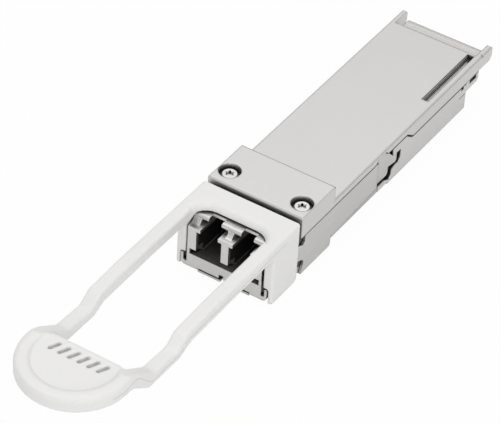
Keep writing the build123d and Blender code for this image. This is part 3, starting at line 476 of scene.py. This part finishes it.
def merged_copy(node, name):
    """A copy of a CAD node whose loose triangles are joined into whole faces."""
    piece = bpy.data.objects.new(name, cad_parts[node].data.copy())
    bpy.context.collection.objects.link(piece)
    only(piece)
    bpy.ops.object.mode_set(mode="EDIT")
    bpy.ops.mesh.select_all(action="SELECT")
    bpy.ops.mesh.remove_doubles(threshold=WELD)
    bpy.ops.mesh.dissolve_limited(angle_limit=FLAT_TURN)
    bpy.ops.object.mode_set(mode="OBJECT")
    return piece


def bevelled_bar(name, low, high, bevel):
    """A bar between two corners given from the shoulder and the flat top, with its edges rounded."""
    bpy.ops.object.select_all(action="DESELECT")
    shift = Vector((0.0, SHOULDER_Y, ROOF_Z))
    low, high = Vector(low) + shift, Vector(high) + shift
    bpy.ops.mesh.primitive_cube_add(size=1.0, location=(low + high) / 2)
    bar = bpy.context.object
    bar.name = bar.data.name = name
    bar.scale = high - low
    bpy.ops.object.transform_apply(location=True, rotation=True, scale=True)
    bpy.ops.object.mode_set(mode="EDIT")
    bpy.ops.mesh.select_all(action="SELECT")
    bpy.ops.mesh.bevel(offset=bevel, segments=2, affect="EDGES")
    bpy.ops.object.mode_set(mode="OBJECT")
    return bar


def melt_edges(piece, step, passes):
    """Remakes a moulding as one even skin, its edges and inside corners softened as a mould leaves them."""
    apply_modifier(piece, "REMESH", mode="VOXEL", voxel_size=step, adaptivity=0.0)
    apply_modifier(piece, "SMOOTH", factor=0.5, iterations=passes)
    only(piece)
    bpy.ops.object.shade_smooth()


def ease_notches(tab, ease):
    """Sets the rear wall of both hook notches back, so the rounded skin clears the hooks over the stroke."""
    only(tab)
    for face in tab.data.polygons:
        x, y, z = face.center - Vector((0.0, SHOULDER_Y, ROOF_Z))
        face.select = NOTCH_X[0] < abs(x) < NOTCH_X[1] and abs(y - NOTCH_Y) < NOTCH_NEAR and z < NOTCH_Z
    bpy.ops.object.mode_set(mode="EDIT")
    bpy.ops.transform.translate(value=(0.0, ease, 0.0))
    bpy.ops.object.mode_set(mode="OBJECT")


def cover(data, material):
    """Leaves a mesh with one material."""
    data.materials.clear()
    data.materials.append(material)


def dress(material, *nodes):
    """Gives CAD nodes a material."""
    for name in nodes:
        cover(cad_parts[name].data, material)


def finish_piece(piece, material, body):
    """Shades a new piece, and gives it its material and the body that it rides on, if any."""
    only(piece)
    bpy.ops.object.shade_smooth_by_angle(angle=SMOOTH_TURN)
    cover(piece.data, material)
    if body:
        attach(piece, body)


# ------------------------------------------------------------------ settings
def colour_property(label, words, value):
    """A colour that a user can change."""
    return bpy.props.FloatVectorProperty(
        name=label, description=words, default=value, size=3, min=0.0, max=1.0, subtype="COLOR"
    )


def length_property(label, words, value):
    """A length that a user can change."""
    return bpy.props.FloatProperty(
        name=label, description=words, default=value, min=0.0, subtype="DISTANCE", unit="LENGTH", precision=5
    )


def share_property(label, words, value):
    """A share from 0 to 1 that a user can change."""
    return bpy.props.FloatProperty(
        name=label, description=words, default=value, min=0.0, max=1.0, subtype="FACTOR"
    )


def angle_property(label, words, degrees):
    """An angle that a user can change."""
    return bpy.props.FloatProperty(
        name=label, description=words, default=math.radians(degrees), unit="ROTATION"
    )


class HousingFinish(bpy.types.PropertyGroup):
    shell: colour_property("Shell", "Nickel-plated zinc of the two shells", (0.68, 0.672, 0.66))
    shell_roughness: share_property("Shell Roughness", "Roughness of the blasted plating", 0.38)
    slider: colour_property("Slider", "Stamped steel of the release slider", (0.62, 0.615, 0.60))
    tooth_pitch: length_property("Tooth Pitch", "Spacing of the teeth along the rear lip", 0.46 * MM)
    # painted shade: the floor of the ports is the shell's own plated metal, given this darker colour for the
    # shade inside the ports
    port_floor_shade: colour_property("Port Floor", "Dull metal floor of the two ports", (0.26, 0.25, 0.24))
    screw: colour_property("Screws", "Plated steel of the case screws", (0.74, 0.73, 0.72))
    spring: colour_property("Springs", "Spring wire", (0.45, 0.44, 0.43))


class SocketFinish(bpy.types.PropertyGroup):
    face: colour_property("Socket Face", "Cast metal face of the duplex socket", (0.70, 0.692, 0.68))
    liner: colour_property("Liner", "Dark wall of the ports", (0.018, 0.018, 0.019))
    barrel: colour_property("Barrels", "Turned steel of the optical barrels", (0.55, 0.54, 0.52))
    gasket: colour_property("Gasket", "Conductive rubber", (0.05, 0.05, 0.052))


class TabFinish(bpy.types.PropertyGroup):
    plastic: colour_property("Plastic", "Moulded white plastic of the pull tab", (0.84, 0.835, 0.825))
    roughness: share_property("Roughness", "Roughness of the moulded skin", 0.45)
    skin_step: length_property("Skin Step", "Mesh step of the moulded skin", 0.16 * MM)
    notch_ease: length_property("Notch Ease", "Extra room behind the lower hooks", 0.2 * MM)
    skin_passes: bpy.props.IntProperty(
        name="Skin Passes", description="Passes that round the moulded edges and corners", default=4, min=0
    )


class BoardFinish(bpy.types.PropertyGroup):
    mask: colour_property("Solder Mask", "Green lacquer of the board", (0.015, 0.09, 0.035))
    gold: colour_property("Gold", "Plated contact pads and package lids", (0.80, 0.56, 0.24))
    chip: colour_property("Chips", "Moulding compound of the chips", (0.025, 0.025, 0.028))
    film: colour_property("Flex Film", "Amber film of the flexible circuits", (0.45, 0.20, 0.05))
    ferrite: colour_property("Ferrite", "Pressed powder of the inductor", (0.10, 0.10, 0.105))
    ceramic: colour_property("Ceramic", "Fired ceramic of the small passives", (0.42, 0.33, 0.24))
    gel: colour_property("Gap Filler", "Soft pads that take heat to the shells", (0.30, 0.36, 0.42))


class StageSettings(bpy.types.PropertyGroup):
    azimuth: angle_property("Azimuth", "Side from which the camera looks", 30.90)
    elevation: angle_property("Elevation", "Height of the camera above the horizon", 39.99)
    roll: angle_property("Roll", "Turn of the camera about its own line of sight", 3.58)
    lens: bpy.props.FloatProperty(
        name="Lens", description="Focal length on a 36 mm sensor", default=219.99, min=10.0, unit="CAMERA"
    )
    eye: bpy.props.FloatVectorProperty(
        name="Eye", description="Place of the camera", default=(0.195392, -0.329406, 0.329633),
        subtype="TRANSLATION", unit="LENGTH",
    )
    floor: colour_property("Floor", "Pale studio floor", (0.85, 0.85, 0.85))


# ------------------------------------------------------------------ pieces
class MODULE_OT_dress_housing(bpy.types.Operator):
    """Give the shells, release slider, screws and springs their metal finishes"""
    bl_idname = "module.dress_housing"
    bl_label = "Housing"

    def execute(self, context):
        look = context.scene.module_housing
        self.dress_shells(look)
        self.dress_slider(look)
        self.dress_screws(look)
        self.wind_springs(look)
        return {"FINISHED"}

    def dress_shells(self, look):
        """Blasted nickel on both shells, with painted shade on the floor of the ports and in the deep places.
        """
        shell = finish_material(
            "blasted_nickel", look.shell, metallic=0.9, roughness=look.shell_roughness, grain=6500.0,
            contrast=0.05, bump=0.006, edge=0.35, edge_light=1.0, crevice=2.0, crevice_dark=0.9,
            crevice_range=(0.6, 0.28), seam=0.85,
        )
        dress(shell, "top_shell", "bottom_shell")
        # painted shade: a darker material for the floor of the ports, with painted highlights on its edges
        floor = finish_material(
            "port_floor_shade", look.port_floor_shade, metallic=0.8, roughness=0.35, grain=3500.0, contrast=0.35,
            bump=0.01, edge=0.1, edge_light=1.6, crevice=6.0, crevice_dark=0.85, crevice_range=(0.55, 0.2),
        )
        self.paint_port_floor_shade(floor)
        shade_zone(shell, **STEP_EDGE)
        shade_zone(shell, **LATCH_WINDOWS)

    def paint_port_floor_shade(self, material):
        """Paints shade on the nose's upper face between the connector's posts, as a material darker than the
        plated shell.
        """
        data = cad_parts["bottom_shell"].data
        data.materials.append(material)
        for face in data.polygons:
            level = abs(face.center.z - (ROOF_Z + PORT_FLOOR_Z)) < LEVEL_NEAR
            if level and face.normal.z > UPWARD and face.center.y < SHOULDER_Y - BLOCK_L:
                face.material_index = len(data.materials) - 1

    def dress_slider(self, look):
        """Rolled sheet on the slider, with painted shade where its arms bend in to their plates."""
        slider = finish_material(
            "rolled_steel", look.slider, metallic=0.9, roughness=0.38, stretch=(6000.0, 200.0, 6000.0),
            contrast=0.05, bump=0.004, edge=0.1, crevice=1.0, crevice_dark=0.95, crevice_range=(0.6, 0.25),
        )
        dress(slider, "release_slider")
        shade_zone(slider, **SLIDER_BEND)

    def dress_screws(self, look):
        """Bright plating on the case screws, with painted shade in their recesses."""
        screw = finish_material(
            "plated_screw", look.screw, metallic=1.0, roughness=0.24, grain=6000.0, bump=0.003, edge=0.06,
            crevice=0.6, crevice_dark=0.98, crevice_range=(0.7, 0.35),
        )
        dress(screw, "case_screws")

    def wind_springs(self, look):
        """Copies of the two return springs, with their loose triangles joined, in place of the CAD nodes."""
        spring = finish_material(
            "spring_wire", look.spring, metallic=1.0, roughness=0.3, grain=9000.0, bump=0.002, edge=0.02
        )
        for node, side in (("return_spring_left", -1), ("return_spring_right", 1)):
            coil = merged_copy(node, node + "_coil")
            finish_piece(coil, spring, None)
            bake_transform(coil)
            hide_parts(node)


class MODULE_OT_add_casting_details(bpy.types.Operator):
    """Model the serrated rear lip, the ledges in the keying slot and the rails in the ports"""
    bl_idname = "module.add_casting_details"
    bl_label = "Casting Details"

    def execute(self, context):
        look = context.scene.module_housing
        metal = finish_material(
            "cast_detail", look.shell, metallic=0.9, roughness=look.shell_roughness, grain=6500.0,
            contrast=0.06, bump=0.006, edge=0.05, edge_light=1.0, crevice=0.7, crevice_dark=0.9,
            crevice_range=(0.75, 0.3),
        )
        self.cut_teeth(look, metal)
        self.lay_ledges(metal)
        self.lay_rails(look)
        return {"FINISHED"}

    def cut_teeth(self, look, metal):
        """A row of fine teeth along the rear lip."""
        pitch = look.tooth_pitch
        row = bevelled_bar(
            "rear_lip_serration", (LIP_X[0], LIP_Y[0], TOOTH_Z[0]),
            (LIP_X[0] + TOOTH_SHARE * pitch, LIP_Y[1], TOOTH_Z[1]), TOOTH_BEVEL,
        )
        apply_modifier(
            row, "ARRAY", count=int((LIP_X[1] - LIP_X[0]) / pitch), use_relative_offset=False,
            use_constant_offset=True, constant_offset_displace=(pitch, 0.0, 0.0),
        )
        finish_piece(row, metal, "module")

    def lay_ledges(self, metal):
        """The two ledges along the inner wall of the keying slot."""
        for name, (depth, reach) in LEDGES.items():
            ledge = bevelled_bar(
                "keying_slot_ledge_" + name, (SLOT_X - LEDGE_ROOT, SLOT_Y[0], -depth - LEDGE_H),
                (SLOT_X + reach, SLOT_Y[1], -depth), LEDGE_BEVEL,
            )
            finish_piece(ledge, metal, "module")

    def lay_rails(self, look):
        """A thin modelled rail at the foot of each wall of the ports; its light plated metal is a painted
        highlight along that edge.
        """
        # painted highlight: the rails' light metal stands in for the highlight along the foot of each wall
        bright = finish_material(
            "port_rail", look.screw, metallic=0.9, roughness=0.3, grain=6500.0, contrast=0.04, bump=0.002,
            edge=0.03, edge_light=1.0, crevice=0.5, crevice_dark=0.3,
        )
        for name, (wall, inward) in PORT_WALLS.items():
            near, far = sorted(wall + inward * side for side in RAIL_X)
            rail = bevelled_bar(
                "port_rail_" + name, (near, RAIL_Y[0], RAIL_Z[0]), (far, RAIL_Y[1], RAIL_Z[1]), RAIL_BEVEL
            )
            finish_piece(rail, bright, "module")


class MODULE_OT_dress_socket(bpy.types.Operator):
    """Give the socket face, its dark liner, the barrels, gasket and clamp their finishes"""
    bl_idname = "module.dress_socket"
    bl_label = "Socket"

    def execute(self, context):
        look = context.scene.module_socket
        # painted highlights on the face's rounded edges, and painted shade in its gaps
        face = finish_material(
            "cast_face", look.face, metallic=0.95, roughness=0.3, grain=5000.0, contrast=0.02, bump=0.0015,
            edge=0.12, edge_light=1.25, crevice=1.2, crevice_dark=0.85, crevice_range=(0.42, 0.12),
        )
        dress(face, "lc_face")
        # painted highlight: thin light lines along the liner's edges, and painted shade deep in its recesses
        liner = finish_material(
            "dark_liner", look.liner, metallic=0.2, roughness=0.35, grain=4000.0, bump=0.008, edge=0.13,
            edge_light=16.0, crevice=3.0, crevice_range=(0.4, 0.1),
        )
        dress(liner, "port_liner")
        barrel = finish_material(
            "turned_steel", look.barrel, metallic=1.0, roughness=0.25, stretch=(300.0, 9000.0, 300.0),
            bump=0.003, edge=0.06,
        )
        dress(barrel, "tx_barrel", "rx_barrel")
        gasket = finish_material(
            "conductive_rubber", look.gasket, metallic=0.1, roughness=0.7, grain=7000.0, contrast=0.2,
            bump=0.02, edge=0.08,
        )
        dress(gasket, "emi_gasket")
        clamp = finish_material(
            "clamp_sheet", look.barrel, metallic=0.95, roughness=0.35, stretch=(6000.0, 6000.0, 300.0),
            bump=0.004, edge=0.06,
        )
        dress(clamp, "optics_clamp")
        return {"FINISHED"}


class MODULE_OT_dress_pull_tab(bpy.types.Operator):
    """Give the pull tab its moulded plastic skin"""
    bl_idname = "module.dress_pull_tab"
    bl_label = "Pull Tab"

    def execute(self, context):
        look = context.scene.module_tab
        plastic = self.mould_plastic(look)
        self.draw_parting_line(plastic)
        tab = merged_copy("pull_tab", "pull_tab_moulding")
        melt_edges(tab, look.skin_step, look.skin_passes)
        ease_notches(tab, look.notch_ease)
        cover(tab.data, plastic)
        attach(tab, "release")
        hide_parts("pull_tab")
        return {"FINISHED"}

    def mould_plastic(self, look):
        """Satin white plastic that lets a little light in under its skin."""
        plastic = finish_material(
            "moulded_white", look.plastic, metallic=0.0, roughness=look.roughness, grain=2600.0,
            contrast=0.012, bump=0.008, edge=0.12, edge_light=1.02, cloud=0.01, specular=0.4, crevice=1.2,
            crevice_dark=0.6, crevice_range=(0.62, 0.2),
        )
        set_inputs(plastic.node_tree, plastic.node_tree.nodes["Principled BSDF"], {
            "Subsurface Weight": 0.12,
            "Subsurface Radius": (0.6 * MM, 0.55 * MM, 0.5 * MM),
            "Subsurface Scale": 1.0,
        })
        return plastic

    def draw_parting_line(self, material):
        """The line where the two halves of the mould meet, along the flank of each arm and the head."""
        tree = material.node_tree
        line = put_node(tree, "ShaderNodeGroup", node_tree=parting_line(), Vector=object_place(tree))
        tint(material, times(tree, line.outputs["Mask"], PARTING_STRENGTH), PARTING_TONE)


class MODULE_OT_dress_electronics(bpy.types.Operator):
    """Give the board, its pads, chips, optical packages and flex circuits their finishes"""
    bl_idname = "module.dress_electronics"
    bl_label = "Electronics"

    def execute(self, context):
        look = context.scene.module_board
        mask = finish_material(
            "solder_mask", look.mask, metallic=0.0, roughness=0.3, grain=3000.0, contrast=0.2, bump=0.004,
            edge=0.05, coat=0.3,
        )
        dress(mask, "main_pcb")
        gold = finish_material(
            "contact_gold", look.gold, metallic=1.0, roughness=0.28, grain=8000.0, bump=0.002, edge=0.03
        )
        dress(gold, "contacts_top", "contacts_bottom")
        lid = finish_material(
            "package_gold", look.gold, metallic=1.0, roughness=0.35, grain=5000.0, bump=0.004, edge=0.08
        )
        dress(lid, "tosa_package", "rosa_package")
        chip = finish_material(
            "chip_compound", look.chip, metallic=0.0, roughness=0.55, grain=6000.0, contrast=0.15, bump=0.01,
            edge=0.06,
        )
        dress(chip, "dsp_chip", "driver_chip", "tia_chip", "controller_chip")
        film = finish_material(
            "flex_film", look.film, metallic=0.1, roughness=0.35, grain=1500.0, bump=0.004, edge=0.02
        )
        dress(film, "tosa_flex", "rosa_flex")
        ferrite = finish_material(
            "pressed_ferrite", look.ferrite, metallic=0.2, roughness=0.6, grain=5000.0, contrast=0.2,
            bump=0.02, edge=0.12,
        )
        dress(ferrite, "power_inductor")
        ceramic = finish_material(
            "fired_ceramic", look.ceramic, metallic=0.0, roughness=0.5, grain=6000.0, bump=0.01, edge=0.04
        )
        dress(ceramic, "passives")
        gel = finish_material(
            "thermal_gel", look.gel, metallic=0.0, roughness=0.75, grain=3000.0, contrast=0.1, bump=0.03,
            edge=0.2,
        )
        dress(gel, "thermal_pad_dsp", "optics_thermal_pads")
        return {"FINISHED"}


# ------------------------------------------------------------------ stage
class MODULE_OT_set_stage(bpy.types.Operator):
    """Set the floor, the soft lights, the world and the camera"""
    bl_idname = "module.set_stage"
    bl_label = "Stage"

    def execute(self, context):
        look = context.scene.module_stage
        scene = context.scene
        scene.view_settings.view_transform = "Standard"
        self.lay_floor(look)
        self.hang_lights()
        self.fill_world(scene)
        self.place_camera(scene, look)
        return {"FINISHED"}

    def lay_floor(self, look):
        """A pale sheet that shows white to the camera, dimmer in reflections, and takes the shadow."""
        bpy.ops.mesh.primitive_plane_add(size=FLOOR_SIDE, location=(0, 0, -FLOOR_GAP))
        floor = bpy.context.object
        floor.name = "studio_floor"
        material = bpy.data.materials.new("studio_floor")
        material.use_nodes = True
        tree = material.node_tree
        tree.nodes.remove(tree.nodes["Principled BSDF"])
        paper = put_node(tree, "ShaderNodeBsdfDiffuse", Color=(*look.floor, 1.0))
        glow = put_node(tree, "ShaderNodeEmission", Strength=1.0, Color=(1.0, 1.0, 1.0, 1.0))
        rays = tree.nodes.new("ShaderNodeLightPath").outputs
        mirrored = worked(tree, "MAXIMUM", rays["Is Glossy Ray"], rays["Is Transmission Ray"])
        seen = worked(tree, "MAXIMUM", rays["Is Camera Ray"], times(tree, mirrored, FLOOR_IN_METAL))
        mix = put_node(tree, "ShaderNodeMixShader", Fac=times(tree, seen, FLOOR_WHITE))
        tree.links.new(paper.outputs["BSDF"], mix.inputs[1])
        tree.links.new(glow.outputs["Emission"], mix.inputs[2])
        tree.links.new(mix.outputs["Shader"], tree.nodes["Material Output"].inputs["Surface"])
        floor.data.materials.append(material)

    def hang_lights(self):
        """Square soft lamps that face the middle of the part."""
        middle = (cad_box[0] + cad_box[1]) / 2
        for name, (place, side, power) in SOFTBOXES.items():
            lamp = bpy.data.lights.new(name, "AREA")
            lamp.size = side
            lamp.energy = power
            holder = bpy.data.objects.new(name, lamp)
            bpy.context.collection.objects.link(holder)
            holder.location = place
            holder.rotation_euler = (middle - Vector(place)).to_track_quat("-Z", "Y").to_euler()

    def fill_world(self, scene):
        """White to the camera, and to the part a soft dome that is lighter overhead."""
        world = bpy.data.worlds.new("studio_air")
        scene.world = world
        world.use_nodes = True
        tree = world.node_tree
        way = tree.nodes.new("ShaderNodeTexCoord").outputs["Generated"]
        parts = put_node(tree, "ShaderNodeSeparateXYZ", Vector=way)
        dome = ranged(tree, parts.outputs["Z"], From_Min=AIR_RISE[0], From_Max=AIR_RISE[1],
                      To_Min=AIR_LIGHT[0], To_Max=AIR_LIGHT[1])
        rays = tree.nodes.new("ShaderNodeLightPath").outputs
        strength = ranged(tree, rays["Is Camera Ray"], To_Min=dome, To_Max=1.0)
        set_inputs(tree, tree.nodes["Background"], {"Color": (1.0, 1.0, 1.0, 1.0), "Strength": strength})

    def place_camera(self, scene, look):
        """A camera at the eye, turned by azimuth and elevation and then about its line of sight."""
        back = Vector((
            math.sin(look.azimuth) * math.cos(look.elevation),
            -math.cos(look.azimuth) * math.cos(look.elevation),
            math.sin(look.elevation),
        ))
        level = Vector((math.cos(look.azimuth), math.sin(look.azimuth), 0.0))
        upright = back.cross(level)
        right = level * math.cos(look.roll) + upright * math.sin(look.roll)
        turned = back.cross(right)
        camera = bpy.data.objects.new("camera", bpy.data.cameras.new("camera"))
        scene.collection.objects.link(camera)
        camera.data.lens = look.lens
        camera.data.sensor_width = SENSOR_W
        camera.data.clip_start, camera.data.clip_end = CLIP
        turn = Matrix((right, turned, back)).transposed().to_4x4()
        camera.matrix_world = Matrix.Translation(Vector(look.eye)) @ turn
        scene.camera = camera


# ------------------------------------------------------------------ panel and registration
SETTINGS = {
    "module_housing": HousingFinish,
    "module_socket": SocketFinish,
    "module_tab": TabFinish,
    "module_board": BoardFinish,
    "module_stage": StageSettings,
}
STEPS = (
    MODULE_OT_dress_housing,
    MODULE_OT_add_casting_details,
    MODULE_OT_dress_socket,
    MODULE_OT_dress_pull_tab,
    MODULE_OT_dress_electronics,
    MODULE_OT_set_stage,
)


class VIEW3D_PT_module(bpy.types.Panel):
    """The steps in their order, and the sizes and colours that they use"""
    bl_label = "Transceiver"
    bl_idname = "VIEW3D_PT_module"
    bl_space_type = "VIEW_3D"
    bl_region_type = "UI"
    bl_category = "Transceiver"

    def draw(self, context):
        for step in STEPS:
            self.layout.operator(step.bl_idname)
        for name, group in SETTINGS.items():
            box = self.layout.box()
            for key in group.__annotations__:
                box.prop(getattr(context.scene, name), key)


def register():
    """Makes the settings, the steps and the panel known."""
    for group in SETTINGS.values():
        bpy.utils.register_class(group)
    for step in STEPS:
        bpy.utils.register_class(step)
    bpy.utils.register_class(VIEW3D_PT_module)
    for name, group in SETTINGS.items():
        setattr(bpy.types.Scene, name, bpy.props.PointerProperty(type=group))


def unregister():
    """Takes them all away again."""
    for name in SETTINGS:
        delattr(bpy.types.Scene, name)
    bpy.utils.unregister_class(VIEW3D_PT_module)
    for step in reversed(STEPS):
        bpy.utils.unregister_class(step)
    for group in reversed(list(SETTINGS.values())):
        bpy.utils.unregister_class(group)


def main():
    """Takes every step in its order."""
    register()
    bpy.ops.module.dress_housing()
    bpy.ops.module.add_casting_details()
    bpy.ops.module.dress_socket()
    bpy.ops.module.dress_pull_tab()
    bpy.ops.module.dress_electronics()
    bpy.ops.module.set_stage()


if __name__ == "__main__":
    main()
